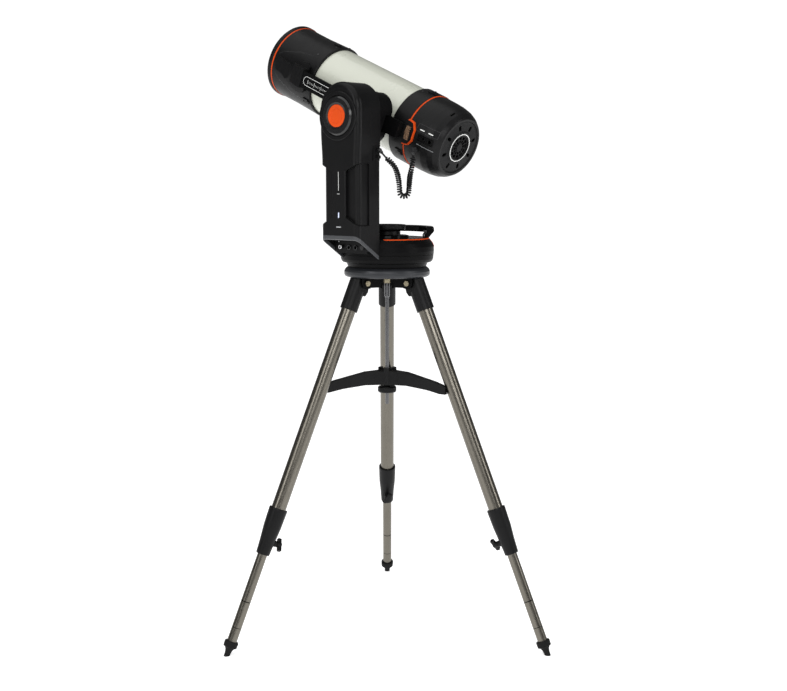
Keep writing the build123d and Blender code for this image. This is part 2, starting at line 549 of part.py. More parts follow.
def make_rear():
    baffle_r, mirror_r, focal_length = 16.0, 80.0, 335.0
    back_x = 50.0
    bowl = [(radius, back_x - 20 - radius ** 2 / (4 * focal_length)) for radius in (80, 65, 50, 35)]
    mirror = lathe([(baffle_r + RUNNING_GAP, back_x)] + [(mirror_r, back_x)] + bowl
                   + [(baffle_r + RUNNING_GAP, back_x - 20)])
    parts["primary_mirror"] = TUBE * along(mirror)

    cell = along(lathe([
        (TUBE_R, REAR_CELL_X), (97.2, REAR_CELL_X), (98.6, REAR_CELL_X + 2), (98.6, REAR_RING_X),
        (93.5, REAR_RING_X), (93.5, 96), (89, 96), (89, 80), (13, 80), (13, -20), (baffle_r, -20),
        (baffle_r, 72), (89, 72), (89, 60), (TUBE_R, 60)]))
    bump = arm_side(BUMP, 86, 104) & along(cyl(102.0, 60, 120))
    cell += bump - along(cyl(93.5, 60, 130))
    for turn in (8.0, 128.0, 248.0):
        lug = Rot(turn, 0, 0) * (box(60, 82, -8, 8, 97, 101.5) + box(70, 80, -4, 4, 97, 103.5))
        cell += lug
    parts["rear_cell"] = TUBE * cell

    collar_band = along(ring(93.5, 97.6, REAR_RING_X, REAR_RING_X + 4)) - arm_side(grown(BUMP, 1.0), 60, 130)
    bump_band = arm_side(grown(BUMP, 3.0), 86, 104) - arm_side(BUMP, 80, 110)
    bump_band -= box(60, REAR_RING_X, -200, 0, -90, 90)
    bump_band = (bump_band & along(cyl(102.6, 60, 130))) - along(cyl(93.5, 60, 130))
    front_band = along(ring(95.8, 98.9, -422, -418))
    parts["tube_accent_bands"] = group([TUBE * (collar_band + bump_band), TUBE * front_band])

    def housing_form(inset):
        front_x = REAR_RING_X + 4
        return along(lathe([
            (0, front_x), (96.8 - inset, front_x), (96.4 - inset, 120), (95 - inset, 145),
            (91.5 - inset, 165), (86 - inset, 179), (79 - inset, 189 - inset / 2), (76 - inset, 192 - inset),
            (0, 192 - inset)]))

    housing = housing_form(0) - housing_form(WALL) - along(cyl(93.5, 60, 96))
    ports = box(122, 184, -91, -84, -13, 14) & housing_form(0)
    housing += ports
    housing -= box(127, 180, -110, -87.5, -9, 10)
    for x, size in ((141.0, 3.6), (163.0, 5.2)):
        housing += y_cyl(size + 2.2, -90, -86, x, 0.5)
        housing -= y_cyl(size, -95, -80, x, 0.5)
    housing -= along(cyl(70.0, 185, 200))
    housing -= arm_side(grown(BUMP, 3.2), 60, 130)
    housing -= Rot(28, 0, 0) * box(168, 172, -8, 8, 80, 110)
    parts["rear_housing"] = TUBE * housing

    grille = lathe([(0, 187), (70, 187), (70, 190.5), (68, 191.5), (66, 190.0), (44, 191.5), (41, 194),
                    (31.5, 194), (31.5, 191), (0, 191)])
    for number in range(8):
        slot = box(51, 57, -4.5, 4.5, 180, 200) + cyl(4.5, 180, 200, 51) + cyl(4.5, 180, 200, 57)
        grille -= Rot(0, 0, number * 45.0 + 22.5) * slot
    for number in range(12):
        for inside, outside in ((12.0, 19.5), (21.0, 28.5)):
            window = lathe([(inside, 180), (outside, 180), (outside, 200), (inside, 200)], angle=24)
            grille -= Rot(0, 0, number * 30.0) * window
    grille += cyl(10, 180, 193)
    grille -= cyl(2 + RUNNING_GAP, 170, 189)
    parts["rear_grille"] = TUBE * along(grille)

    rotor = cyl(12, 164, 178) + cyl(2, 170, 188.5)
    for number in range(7):
        blade = Rot(0, 0, number * 360 / 7) * Pos(20, 0, 171) * Rot(38, 0, 0) * Box(20, 1.6, 12)
        rotor += blade
    parts["fan_rotor"] = TUBE * along(rotor)


def make_cable():
    route = [Vector(*p) for p in COIL_ROUTE]
    radii = []
    for before, here, after in zip(route, route[1:], route[2:]):
        turn = radians((here - before).get_angle(after - here))
        radii.append(0.45 * min((here - before).length, (after - here).length) / tan(turn / 2))
    path = FilletPolyline(*route, radius=radii)
    start = Plane(origin=path @ 0, z_dir=path % 0)
    cable = sweep(start * Circle(COIL_R), path=path)
    print("cable arc radii", [round(r, 1) for r in radii])
    full_volume = pi * COIL_R ** 2 * path.length
    print("cable volume over section times length", round(cable.volume / full_volume, 4))
    parts["coiled_cable"] = cable

    plug_x, plug_y, plug_z = PORT_BLOCK_X, -115.0, 1268.0
    elbow = Pos(plug_x + 8, plug_y, plug_z)
    arm_plug = x_cyl(5.5, plug_x, plug_x + 8, plug_y, plug_z) + elbow * Sphere(5.2)
    arm_plug += elbow * Rot(0, 135, 0) * cyl(4.0, 0, 10)
    spare_plug = x_cyl(4.5, plug_x, plug_x + 7, plug_y + 1, plug_z - 17)
    parts["cable_plug_arm"] = group([MOUNT * arm_plug, MOUNT * spare_plug])
    end = route[-1]
    upright = Pos(end.X, end.Y, end.Z)
    plug = cyl(4.5, 0, 8) + box(-6, 6, -7, 6, 6, 19) + y_cyl(5.0, 5, 14, 0, 12.5)
    plug = upright * Rot(0, 0, MOUNT_TURN) * plug
    parts["cable_plug_tube"] = plug - TUBE * along(cyl(97.0, 60, 190))


make_head()
for leg_number, leg_angle in enumerate(LEG_ANGLES, 1):
    make_leg(leg_number, leg_angle)
make_spreader()
make_base()
make_arm()
make_altitude()
parts["main_tube"] = TUBE * along(ring(TUBE_R - TUBE_WALL, TUBE_R, -285, 60))
make_bar()
make_front()
make_rear()
make_cable()

os.makedirs("parts", exist_ok=True)
for node_name, shape in parts.items():
    export_step(shape, f"parts/{node_name}.step")
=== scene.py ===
"""Looks of the single-arm telescope: camera, lights, materials, and the small pieces that CAD leaves out."""
import bpy
from math import ceil, cos, pi, radians, sin
from mathutils import Matrix, Vector
from mathutils.bvhtree import BVHTree


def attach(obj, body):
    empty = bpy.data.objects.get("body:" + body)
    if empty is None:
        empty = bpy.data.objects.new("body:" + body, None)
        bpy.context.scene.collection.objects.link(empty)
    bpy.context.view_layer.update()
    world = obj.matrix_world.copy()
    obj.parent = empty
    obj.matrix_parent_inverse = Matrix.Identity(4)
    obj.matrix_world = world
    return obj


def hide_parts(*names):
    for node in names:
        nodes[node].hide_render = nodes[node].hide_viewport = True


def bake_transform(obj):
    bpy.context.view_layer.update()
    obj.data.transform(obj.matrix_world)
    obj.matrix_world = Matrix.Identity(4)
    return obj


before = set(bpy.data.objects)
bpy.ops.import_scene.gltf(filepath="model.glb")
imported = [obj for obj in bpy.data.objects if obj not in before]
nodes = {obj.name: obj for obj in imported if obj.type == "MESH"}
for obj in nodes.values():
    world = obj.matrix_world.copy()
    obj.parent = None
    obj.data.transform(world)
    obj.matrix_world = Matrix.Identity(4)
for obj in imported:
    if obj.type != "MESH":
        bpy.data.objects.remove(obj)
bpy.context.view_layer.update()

# ---------------------------------------------------------------- local frames, metres and degrees
MM = 0.001
MOUNT_TURN, TUBE_TILT = -39.9, 23.2
TUBE_MIDDLE = (0, 0.075, 1.351)          # on the altitude axis, before the mount's turn
LEG_ANGLES = (210.0, 330.0, 90.0)
LEG_LEAN, FOOT_CIRCLE_R = 22.376, 0.4695
LEG_MARKS = ((0.0740, 0.0755), (0.1430, 0.1455))          # dark rings, between heights along a leg

MOUNT = Matrix.Rotation(radians(MOUNT_TURN), 4, "Z")
TUBE = MOUNT @ Matrix.Translation(TUBE_MIDDLE) @ Matrix.Rotation(radians(TUBE_TILT), 4, "Y")
AXIS_TO_X = Matrix.Rotation(radians(90), 4, "Y")          # a part turned about z, laid along the tube


def leg_frame(angle):
    """The frame of a leg at rest: its origin is the foot, and z runs up along the leg."""
    return (Matrix.Rotation(radians(angle), 4, "Z") @ Matrix.Translation((FOOT_CIRCLE_R, 0, 0))
            @ Matrix.Rotation(radians(-LEG_LEAN), 4, "Y"))


# ---------------------------------------------------------------- camera
CAMERA_PLACE = (0.0, -3.371, 1.210)
CAMERA_DIP, CAMERA_TURN = 7.59, -0.005          # degrees below level, radians to the side


def add_camera():
    """The camera in front of the telescope, which looks along +y and a little down."""
    data = bpy.data.cameras.new("camera")
    data.sensor_width = 36.0
    data.lens = 59.0
    data.clip_end = 120.0
    camera = bpy.data.objects.new("camera", data)
    camera.location = CAMERA_PLACE
    camera.rotation_euler = (radians(90.0 - CAMERA_DIP), 0.0, CAMERA_TURN)
    bpy.context.scene.collection.objects.link(camera)
    bpy.context.scene.camera = camera


add_camera()


# ---------------------------------------------------------------- node material helpers
class Tree:
    """Short calls for building one material's node tree."""

    def __init__(self, name):
        self.material = bpy.data.materials.new(name)
        self.material.use_nodes = True
        self.nodes = self.material.node_tree.nodes
        self.links = self.material.node_tree.links
        self.shader = self.nodes["Principled BSDF"]

    def add(self, kind, **values):
        node = self.nodes.new(kind)
        for key, value in values.items():
            setattr(node, key, value)
        return node

    def put(self, node, name, value):
        """Sets an input, or links it where the value is another node's output."""
        socket = node.inputs[name]
        if isinstance(value, bpy.types.NodeSocket):
            self.links.new(value, socket)
        else:
            socket.default_value = value

    def place(self, matrix=None, stretch=(1, 1, 1)):
        """Object coordinates read in a local frame, divided by stretch."""
        source = self.add("ShaderNodeTexCoord").outputs["Object"]
        mapping = self.add("ShaderNodeMapping", vector_type="TEXTURE")
        self.links.new(source, mapping.inputs["Vector"])
        if matrix is not None:
            mapping.inputs["Location"].default_value = matrix.to_translation()
            mapping.inputs["Rotation"].default_value = matrix.to_euler()
        mapping.inputs["Scale"].default_value = stretch
        return mapping.outputs["Vector"]

    def height(self, vector):
        node = self.add("ShaderNodeSeparateXYZ")
        self.links.new(vector, node.inputs[0])
        return node.outputs["Z"]

    def noise(self, vector, scale, detail=3.0, rough=0.55):
        node = self.add("ShaderNodeTexNoise")
        self.put(node, "Vector", vector)
        self.put(node, "Scale", scale)
        self.put(node, "Detail", detail)
        self.put(node, "Roughness", rough)
        return node.outputs["Fac"]

    def voronoi(self, vector, scale):
        node = self.add("ShaderNodeTexVoronoi")
        self.put(node, "Vector", vector)
        self.put(node, "Scale", scale)
        return node.outputs["Distance"]

    def spread(self, value, low, high, to_low=0.0, to_high=1.0):
        node = self.add("ShaderNodeMapRange")
        for name, number in (("Value", value), ("From Min", low), ("From Max", high), ("To Min", to_low),
                             ("To Max", to_high)):
            self.put(node, name, number)
        return node.outputs["Result"]

    def math(self, operation, first, second=0.0):
        node = self.add("ShaderNodeMath", operation=operation)
        self.put(node, 0, first)
        self.put(node, 1, second)
        return node.outputs[0]

    def mix(self, factor, first, second):
        """Mixes two colours. The node's inputs 6 and 7 and its output 2 are the ones for colours."""
        node = self.add("ShaderNodeMix", data_type="RGBA")
        self.put(node, "Factor", factor)
        for index, value in ((6, first), (7, second)):
            if isinstance(value, bpy.types.NodeSocket):
                self.links.new(value, node.inputs[index])
            else:
                node.inputs[index].default_value = (*value, 1.0)
        return node.outputs[2]

    def edge(self, radius):
        """Rounded normal at edges, and a mask that is 1 along them."""
        bevel = self.add("ShaderNodeBevel", samples=6)
        bevel.inputs["Radius"].default_value = radius
        geometry = self.add("ShaderNodeNewGeometry")
        dot = self.add("ShaderNodeVectorMath", operation="DOT_PRODUCT")
        self.links.new(bevel.outputs["Normal"], dot.inputs[0])
        self.links.new(geometry.outputs["Normal"], dot.inputs[1])
        return bevel.outputs["Normal"], self.spread(dot.outputs["Value"], 0.995, 0.80)

    def bump(self, height, distance, normal=None):
        node = self.add("ShaderNodeBump")
        self.put(node, "Height", height)
        node.inputs["Distance"].default_value = distance
        node.inputs["Strength"].default_value = 1.0
        if normal is not None:
            self.links.new(normal, node.inputs["Normal"])
        return node.outputs["Normal"]

    def finish(self, color, rough, normal, **settings):
        self.put(self.shader, "Base Color", color)
        self.put(self.shader, "Roughness", rough)
        self.links.new(normal, self.shader.inputs["Normal"])
        for name, value in settings.items():
            self.shader.inputs[name.replace("_", " ")].default_value = value
        return self.material


def tinted(color, amount):
    """A colour made lighter or darker."""
    return tuple(min(1.0, channel * amount) for channel in color)


def moulded(name, color, rough, grain=900.0, grain_depth=0.00004, round_edge=0.0006, edge_highlight=1.5,
            gloss_above=None, **settings):
    """Moulded plastic or powder coat: fine grain, soft mottling, edges a little polished by use
    and lighter in colour there, a painted highlight. Above the height gloss_above it is smooth and glossy."""
    tree = Tree(name)
    where = tree.place()
    cloudy = tree.noise(where, 9.0, 4.0)
    fine = tree.noise(where, grain, 2.0)
    pits = tree.voronoi(where, grain * 0.7)
    smudge = tree.noise(where, 26.0, 5.0, 0.7)
    normal, mask = tree.edge(round_edge)
    shade = tree.mix(cloudy, tinted(color, 0.82), tinted(color, 1.2))
    # Painted highlight: the colour is made lighter along the edges.
    shade = tree.mix(tree.math("MULTIPLY", mask, 0.55), shade, tinted(color, edge_highlight))
    gloss = tree.spread(smudge, 0.3, 0.75, rough * 0.86, rough * 1.16)
    gloss = tree.math("SUBTRACT", gloss, tree.math("MULTIPLY", mask, rough * 0.22))
    depth = tree.math("ADD", fine, tree.math("MULTIPLY", pits, 0.6))
    if gloss_above is not None:
        high = tree.spread(tree.height(where), gloss_above - 0.0004, gloss_above + 0.0004)
        gloss = tree.math("MULTIPLY", gloss, tree.spread(high, 0.0, 1.0, 1.0, 0.35))
        depth = tree.math("MULTIPLY", depth, tree.spread(high, 0.0, 1.0, 1.0, 0.1))
    return tree.finish(shade, gloss, tree.bump(depth, grain_depth, normal), **settings)


def lacquered(name, color, rough, **settings):
    """Sprayed gloss coat: faint orange peel, dust specks and slow colour drift."""
    tree = Tree(name)
    where = tree.place(TUBE)
    peel = tree.noise(where, 420.0, 2.0, 0.4)
    drift = tree.noise(where, 3.2, 3.0)
    specks = tree.spread(tree.noise(where, 1500.0, 1.0), 0.74, 0.80)
    shade = tree.mix(drift, tinted(color, 0.97), tinted(color, 1.025))
    shade = tree.mix(tree.math("MULTIPLY", specks, 0.25), shade, tinted(color, 0.55))
    gloss = tree.spread(tree.noise(where, 14.0, 4.0), 0.3, 0.7, rough * 0.85, rough * 1.2)
    normal, mask = tree.edge(0.0004)
    return tree.finish(shade, gloss, tree.bump(peel, 0.00002, normal), **settings)


def brushed(name, color, rough, matrix, stretch, edge_highlight=1.12, bands=(), **settings):
    """Drawn or turned metal: hairlines run along the stretched direction of the local frame.
    The bands are dark marks between two heights."""
    tree = Tree(name)
    lines = tree.noise(tree.place(matrix, stretch), 900.0, 4.0, 0.7)
    where = tree.place(matrix)
    stain = tree.noise(where, 16.0, 5.0, 0.6)
    normal, mask = tree.edge(0.0003)
    shade = tree.mix(lines, tinted(color, 0.78), tinted(color, 1.16))
    shade = tree.mix(tree.spread(stain, 0.45, 0.8, 0.0, 0.35), shade, tinted(color, 0.72))
    # Painted highlight: the colour is made lighter along the edges.
    shade = tree.mix(tree.math("MULTIPLY", mask, 0.5), shade, tinted(color, edge_highlight * 1.3))
    for low, high in bands:
        height = tree.height(where)
        inside = tree.math("MULTIPLY", tree.math("GREATER_THAN", height, low),
                           tree.math("LESS_THAN", height, high))
        shade = tree.mix(inside, shade, (0.006, 0.006, 0.006))
    gloss = tree.math("ADD", tree.spread(lines, 0.3, 0.7, rough * 0.75, rough * 1.2),
                      tree.spread(stain, 0.4, 0.8, 0.0, 0.07))
    return tree.finish(shade, gloss, tree.bump(lines, 0.00002, normal), Metallic=1.0, **settings)


def flecked(name, color, rough, **settings):
    """Metallic paint: small bright flakes in a satin coat."""
    tree = Tree(name)
    where = tree.place()
    flakes = tree.spread(tree.voronoi(where, 1600.0), 0.0, 0.5)
    cloudy = tree.noise(where, 12.0, 4.0)
    normal, mask = tree.edge(0.0008)
    shade = tree.mix(flakes, tinted(color, 1.35), tinted(color, 0.85))
    shade = tree.mix(tree.math("MULTIPLY", cloudy, 0.4), shade, tinted(color, 0.8))
    # Painted highlight: the colour is made lighter along the edges.
    shade = tree.mix(tree.math("MULTIPLY", mask, 0.5), shade, tinted(color, 1.7))
    gloss = tree.spread(cloudy, 0.3, 0.7, rough * 0.85, rough * 1.15)
    return tree.finish(shade, gloss, tree.bump(tree.noise(where, 700.0, 2.0), 0.00003, normal), **settings)


def rubbery(name, color, rough, scale=260.0, **settings):
    """Soft rubber: dusty bloom and a coarse skin."""
    tree = Tree(name)
    where = tree.place()
    bloom = tree.noise(where, 34.0, 5.0, 0.65)
    skin = tree.noise(where, scale, 4.0, 0.6)
    shade = tree.mix(tree.spread(bloom, 0.45, 0.8, 0.0, 0.5), color, tinted(color, 2.1))
    gloss = tree.spread(bloom, 0.3, 0.75, rough * 0.85, min(1.0, rough * 1.2))
    normal, mask = tree.edge(0.0005)
    return tree.finish(shade, gloss, tree.bump(skin, 0.00012, normal), **settings)


def coated_glass(name):
    """Thin glass with a faint green multi-coating and a trace of dust."""
    tree = Tree(name)
    where = tree.place(TUBE)
    dust = tree.spread(tree.noise(where, 180.0, 5.0, 0.7), 0.5, 0.9, 0.02, 0.10)
    tint = tree.mix(tree.noise(where, 5.0, 2.0), (0.86, 0.97, 0.92), (0.90, 0.93, 0.99))
    normal = tree.bump(tree.noise(where, 60.0, 1.0), 0.000004)
    return tree.finish(tint, dust, normal, Transmission_Weight=0.94, IOR=1.5, Coat_Weight=0.5,
                       Coat_Roughness=0.02, Coat_Tint=(0.55, 0.9, 0.75, 1.0))


def silvered(name):
    """Aluminised optical face: near-perfect reflection, a little haze, a faint tint that varies across it."""
    tree = Tree(name)
    where = tree.place(TUBE)
    haze = tree.spread(tree.noise(where, 40.0, 5.0, 0.7), 0.4, 0.8, 0.03, 0.12)
    tint = tree.mix(tree.noise(where, 8.0), (0.86, 0.88, 0.90), (0.93, 0.94, 0.94))
    normal, mask = tree.edge(0.0006)
    return tree.finish(tint, haze, normal, Metallic=1.0)


# ---------------------------------------------------------------- materials
BLACK = (0.0045, 0.0045, 0.0048)
DULL = {"Specular_IOR_Level": 0.15}
MATT = {"Specular_IOR_Level": 0.06}
ORANGE = (0.62, 0.064, 0.006)
paint = {
    "tube_white": lacquered("tube_white", (0.590, 0.608, 0.522), 0.30, Coat_Weight=0.35, Coat_Roughness=0.12),
    "arm_plastic": moulded("arm_plastic", BLACK, 0.33, **DULL),
    "deck_plastic": moulded("deck_plastic", tinted(BLACK, 0.7), 0.36, gloss_above=1.0445, **MATT),
    "cell_plastic": moulded("cell_plastic", (0.0050, 0.0050, 0.0053), 0.36, 1100.0, 0.00006, **DULL),
    "black_plastic": moulded("black_plastic", (0.0055, 0.0055, 0.0058), 0.42, 620.0, 0.00009, **DULL),
    "black_casting": moulded("black_casting", tinted(BLACK, 0.8), 0.40, 480.0, 0.00010, 0.0010, 1.6, **MATT),
    "dark_plastic": moulded("dark_plastic", (0.0060, 0.0060, 0.0064), 0.55, 700.0, 0.00008, **DULL),
    "gloss_black": moulded("gloss_black", (0.0070, 0.0070, 0.0074), 0.22, 1400.0, 0.00001,
                           Specular_IOR_Level=0.4, Coat_Weight=0.15),
    "bright_black": moulded("bright_black", (0.018, 0.018, 0.019), 0.30, 1400.0, 0.00002),
    "rim_grey": moulded("rim_grey", (0.040, 0.042, 0.046), 0.42, 900.0, 0.00005, 0.0012, 1.8),
    "orange": moulded("orange", ORANGE, 0.45, 800.0, 0.00004, 0.0004, 1.05, **DULL),
    "white_print": moulded("white_print", (0.72, 0.73, 0.71), 0.55, 1600.0, 0.00003, 0.0001, 1.0),
    "grey_print": moulded("grey_print", (0.34, 0.35, 0.36), 0.45, 1600.0, 0.00003, 0.0001, 1.1),
    "light_lens": moulded("light_lens", (0.55, 0.60, 0.74), 0.25, 1800.0, 0.00001, 0.0004, 1.1,
                          Emission_Color=(0.6, 0.7, 1.0, 1.0), Emission_Strength=0.25),
    "camera_black": moulded("camera_black", (0.016, 0.016, 0.018), 0.36, 1500.0, 0.00002, 0.0005, 2.5),
    "battery_grey": moulded("battery_grey", (0.06, 0.08, 0.12), 0.35, 300.0, 0.00012),
    "head_paint": flecked("head_paint", (0.028, 0.030, 0.034), 0.36, Metallic=0.35),
    "steel": brushed("steel", (0.56, 0.56, 0.57), 0.30, None, (1, 1, 0.06)),
    "dark_steel": brushed("dark_steel", (0.13, 0.13, 0.135), 0.24, None, (1, 1, 0.06)),
    "chrome": brushed("chrome", (0.70, 0.70, 0.71), 0.16, None, (1, 1, 0.2)),
    "zinc_bolt": brushed("zinc_bolt", (0.31, 0.275, 0.19), 0.34, None, (0.3, 0.3, 1)),
    "bronze": brushed("bronze", (0.42, 0.26, 0.16), 0.35, TUBE, (1, 1, 0.3)),
    "brass_gear": brushed("brass_gear", (0.72, 0.52, 0.20), 0.28, MOUNT, (1, 0.2, 1)),
    "rubber_foot": rubbery("rubber_foot", (0.006, 0.006, 0.006), 0.68, **DULL),
    "cable_skin": rubbery("cable_skin", (0.0065, 0.0065, 0.0070), 0.38, 1200.0, **DULL),
    "glass": coated_glass("corrector_glass"),
    "mirror_face": silvered("mirror_face"),
}
LEG_STEEL, ALONG_LEG = (0.168, 0.156, 0.133), (1, 1, 28.0)
for number, angle in enumerate(LEG_ANGLES, 1):
    name = f"leg_steel_{number}"
    paint[name] = brushed(name, LEG_STEEL, 0.27, leg_frame(angle), ALONG_LEG, bands=LEG_MARKS)

finishes = {
    "deck_plastic": ["base_housing"],
    "arm_plastic": ["arm_outer_shell", "arm_inner_shell", "azimuth_clutch_knob"],
    "cell_plastic": ["front_cell", "rear_cell", "rear_housing"],
    "black_casting": ["hinge_yoke", "mount_lower_base", "saddle_clamp", "dovetail_bar"],
    "black_plastic": ["leg_spreader", "tension_knob", "port_panel", "saddle_knob"],
    "dark_plastic": ["rear_grille"],
    "gloss_black": ["altitude_clutch_knob", "power_button", "cable_plug_arm"],
    "bright_black": ["cable_plug_tube", "fan_rotor"],
    "rim_grey": ["arm_rim_band"],
    "orange": ["base_accent_band", "tube_accent_bands", "altitude_knob_disc"],
    "tube_white": ["main_tube"],
    "head_paint": ["tripod_head"],
    "zinc_bolt": ["tripod_bolts"],
    "dark_steel": ["center_rod"],
    "steel": ["azimuth_spindle", "azimuth_motor", "altitude_motor", "azimuth_worm", "altitude_worm",
              "altitude_spindle"],
    "brass_gear": ["azimuth_worm_wheel", "altitude_worm_wheel"],
    "battery_grey": ["battery_pack"],
    "camera_black": ["camera_module"],
    "glass": ["corrector_plate"],
    "mirror_face": ["primary_mirror"],
    "cable_skin": ["coiled_cable"],
    "rubber_foot": [],
}
for number in (1, 2, 3):
    finishes[f"leg_steel_{number}"] = [f"leg_{number}_upper_tube", f"leg_{number}_lower_tube"]
    finishes["black_plastic"] += [f"leg_{number}_{part}" for part in ("socket", "clamp", "clamp_knob")]
    finishes["rubber_foot"].append(f"leg_{number}_foot")
for finish_name, names in finishes.items():
    for name in names:
        data = nodes[name].data
        data.materials.clear()
        data.materials.append(paint[finish_name])


# ---------------------------------------------------------------- mesh helpers
def add_mesh(name, points, faces, finish_name, body, slot_name, matrix=None):
    """A piece from points in millimetres in a local frame. Where its body is None, it is attached to no body.
    """
    data = bpy.data.meshes.new(name)
    data.from_pydata([Vector(p) * MM for p in points], [], faces)
    if matrix is not None:
        data.transform(matrix)
    data.update()
    for polygon in data.polygons:
        polygon.use_smooth = True
    piece = bpy.data.objects.new(name, data)
    bpy.context.scene.collection.objects.link(piece)
    data.materials.append(paint[finish_name])
    if body:
        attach(piece, body)
    return piece


def turned(outline, segments):
    """Points and faces of a closed (radius, height) outline turned about z.
    Its points on the axis are shared by all faces there."""
    points, faces, rows = [], [], []
    for radius, height in outline:
        start, count = len(points), segments if radius else 1
        turns = [2 * pi * step / segments for step in range(count)]
        points += [(radius * cos(turn), radius * sin(turn), height) for turn in turns]
        rows.append([start + step % count for step in range(segments)])
    for first, second in zip(rows, rows[1:] + rows[:1]):
        for step in range(segments):
            after = (step + 1) % segments
            corners = dict.fromkeys((first[step], first[after], second[after], second[step]))
            if len(corners) > 2:
                faces.append(tuple(corners))
    return points, faces


RAY_START = 0.3           # metres before a point, so outside every part
STRIP_SINK = 0.3          # millimetres that a strip's edges go under the surface


class Surface:
    """The outside of some CAD nodes, seen along one direction of a local frame, for laying thin pieces on."""

    def __init__(self, names, matrix, direction):
        self.matrix = matrix
        back = matrix.inverted()
        points, faces = [], []
        for name in names:
            start = len(points)
            data = nodes[name].data
            points += [back @ v.co for v in data.vertices]
            faces += [[start + i for i in p.vertices] for p in data.polygons]
        self.tree = BVHTree.FromPolygons(points, faces)
        self.direction = Vector(direction)

    def at(self, point, lift):
        """The surface point under a point in millimetres, lifted off it.
        Where the ray misses, it is the surface point nearest to the ray's start."""
        start = Vector(point) * MM - self.direction * RAY_START
        hit, normal, index, distance = self.tree.ray_cast(start, self.direction)
        if hit is None:
            hit, normal, index, distance = self.tree.find_nearest(start)
        if normal.dot(self.direction) > 0:
            normal = -normal
        return (hit + normal * lift * MM) / MM


def resampled(path, step, closed):
    """The path's points at an even spacing."""
    ends = path + [path[0]] if closed else path
    out = []
    for first, second in zip(ends, ends[1:]):
        first, second = Vector(first), Vector(second)
        count = max(1, ceil((second - first).length / step))
        out += [first.lerp(second, i / count) for i in range(count)]
    return out if closed else out + [Vector(ends[-1])]


def strip(surface, path, width, lift=0.25, closed=False, step=1.2):
    """Points and faces of a raised line on a surface, its section a low trapezium."""
    line = resampled(path, step, closed)
    count = len(line)
    axis = surface.direction
    points, faces = [], []
    for index, here in enumerate(line):
        before = line[index - 1] if closed or index else here
        after = line[(index + 1) % count] if closed or index < count - 1 else here
        side = (after - before).normalized().cross(axis)
        for share, height in ((-1.0, -STRIP_SINK), (-0.8, lift), (0.8, lift), (1.0, -STRIP_SINK)):
            points.append(surface.at(here + side * width * 0.5 * share, height))
    for index in range(count if closed else count - 1):
        here, there = index * 4, ((index + 1) % count) * 4
        for corner in range(3):
            faces.append((here + corner, here + corner + 1, there + corner + 1, there + corner))
    if not closed:
        end = (count - 1) * 4
        faces += [(3, 2, 1, 0), (end, end + 1, end + 2, end + 3)]
    return points, faces


def merged(shapes):
    """Points and faces of several shapes as one."""
    points, faces = [], []
    for some, more in shapes:
        start = len(points)
        points += list(some)
        faces += [tuple(start + index for index in face) for face in more]
    return points, faces


def rounded_box(x0, x1, z0, z1, radius):
    """Closed path of a rounded rectangle in the x-z plane."""
    path, steps = [], 5
    for cx, cz, start in ((x1 - radius, z1 - radius, 0), (x0 + radius, z1 - radius, 90),
                          (x0 + radius, z0 + radius, 180), (x1 - radius, z0 + radius, 270)):
        for step in range(steps + 1):
            turn = radians(start + 90 * step / steps)
            path.append((cx + radius * cos(turn), 0.0, cz + radius * sin(turn)))
    return path


# ---------------------------------------------------------------- curly cable
# The coil's middle line in millimetres, from the arm's plug to the tube's plug.
COIL_ROUTE = [
    (-12.30, -139.62, 1260.88), (-5.3, -145.5, 1251.7), (8.5, -148.0, 1239.5), (21.0, -147.0, 1225.0),
    (28.0, -143.0, 1202.0), (31.0, -137.0, 1179.0), (32.0, -132.0, 1154.0), (53.0, -125.0, 1154.0),
    (55.5, -119.0, 1178.0), (57.0, -109.0, 1202.0), (62.0, -99.0, 1222.0), (65.0, -95.5, 1240.0),
    (65.0, -95.5, 1257.0)]
WIRE_R, HELIX_R, HELIX_PITCH = 2.25, 5.10, 5.8
LEAD, TAIL = 16.0, 5.0           # straight lengths before and after the coil
OPENING, CLOSING = 5.0, 4.0      # lengths in which the coil grows to its full radius and shrinks again
TURN_STEP = 2 * pi / 16


def spline_points():
    """Points along the cable's route, read from its NURBS spline, in millimetres."""
    data = bpy.data.curves.new("route", "CURVE")
    data.dimensions = "3D"
    spline = data.splines.new("NURBS")
    spline.points.add(len(COIL_ROUTE) - 1)
    for point, place in zip(spline.points, COIL_ROUTE):
        point.co = (*(Vector(place) * MM), 1.0)
    spline.order_u = 3
    spline.use_endpoint_u = True
    spline.resolution_u = 32
    holder = bpy.data.objects.new("route", data)
    bpy.context.scene.collection.objects.link(holder)
    bpy.context.view_layer.update()
    mesh = bpy.data.meshes.new_from_object(holder)
    points = [v.co / MM for v in mesh.vertices]
    bpy.data.objects.remove(holder)
    bpy.data.curves.remove(data)
    bpy.data.meshes.remove(mesh)
    return points


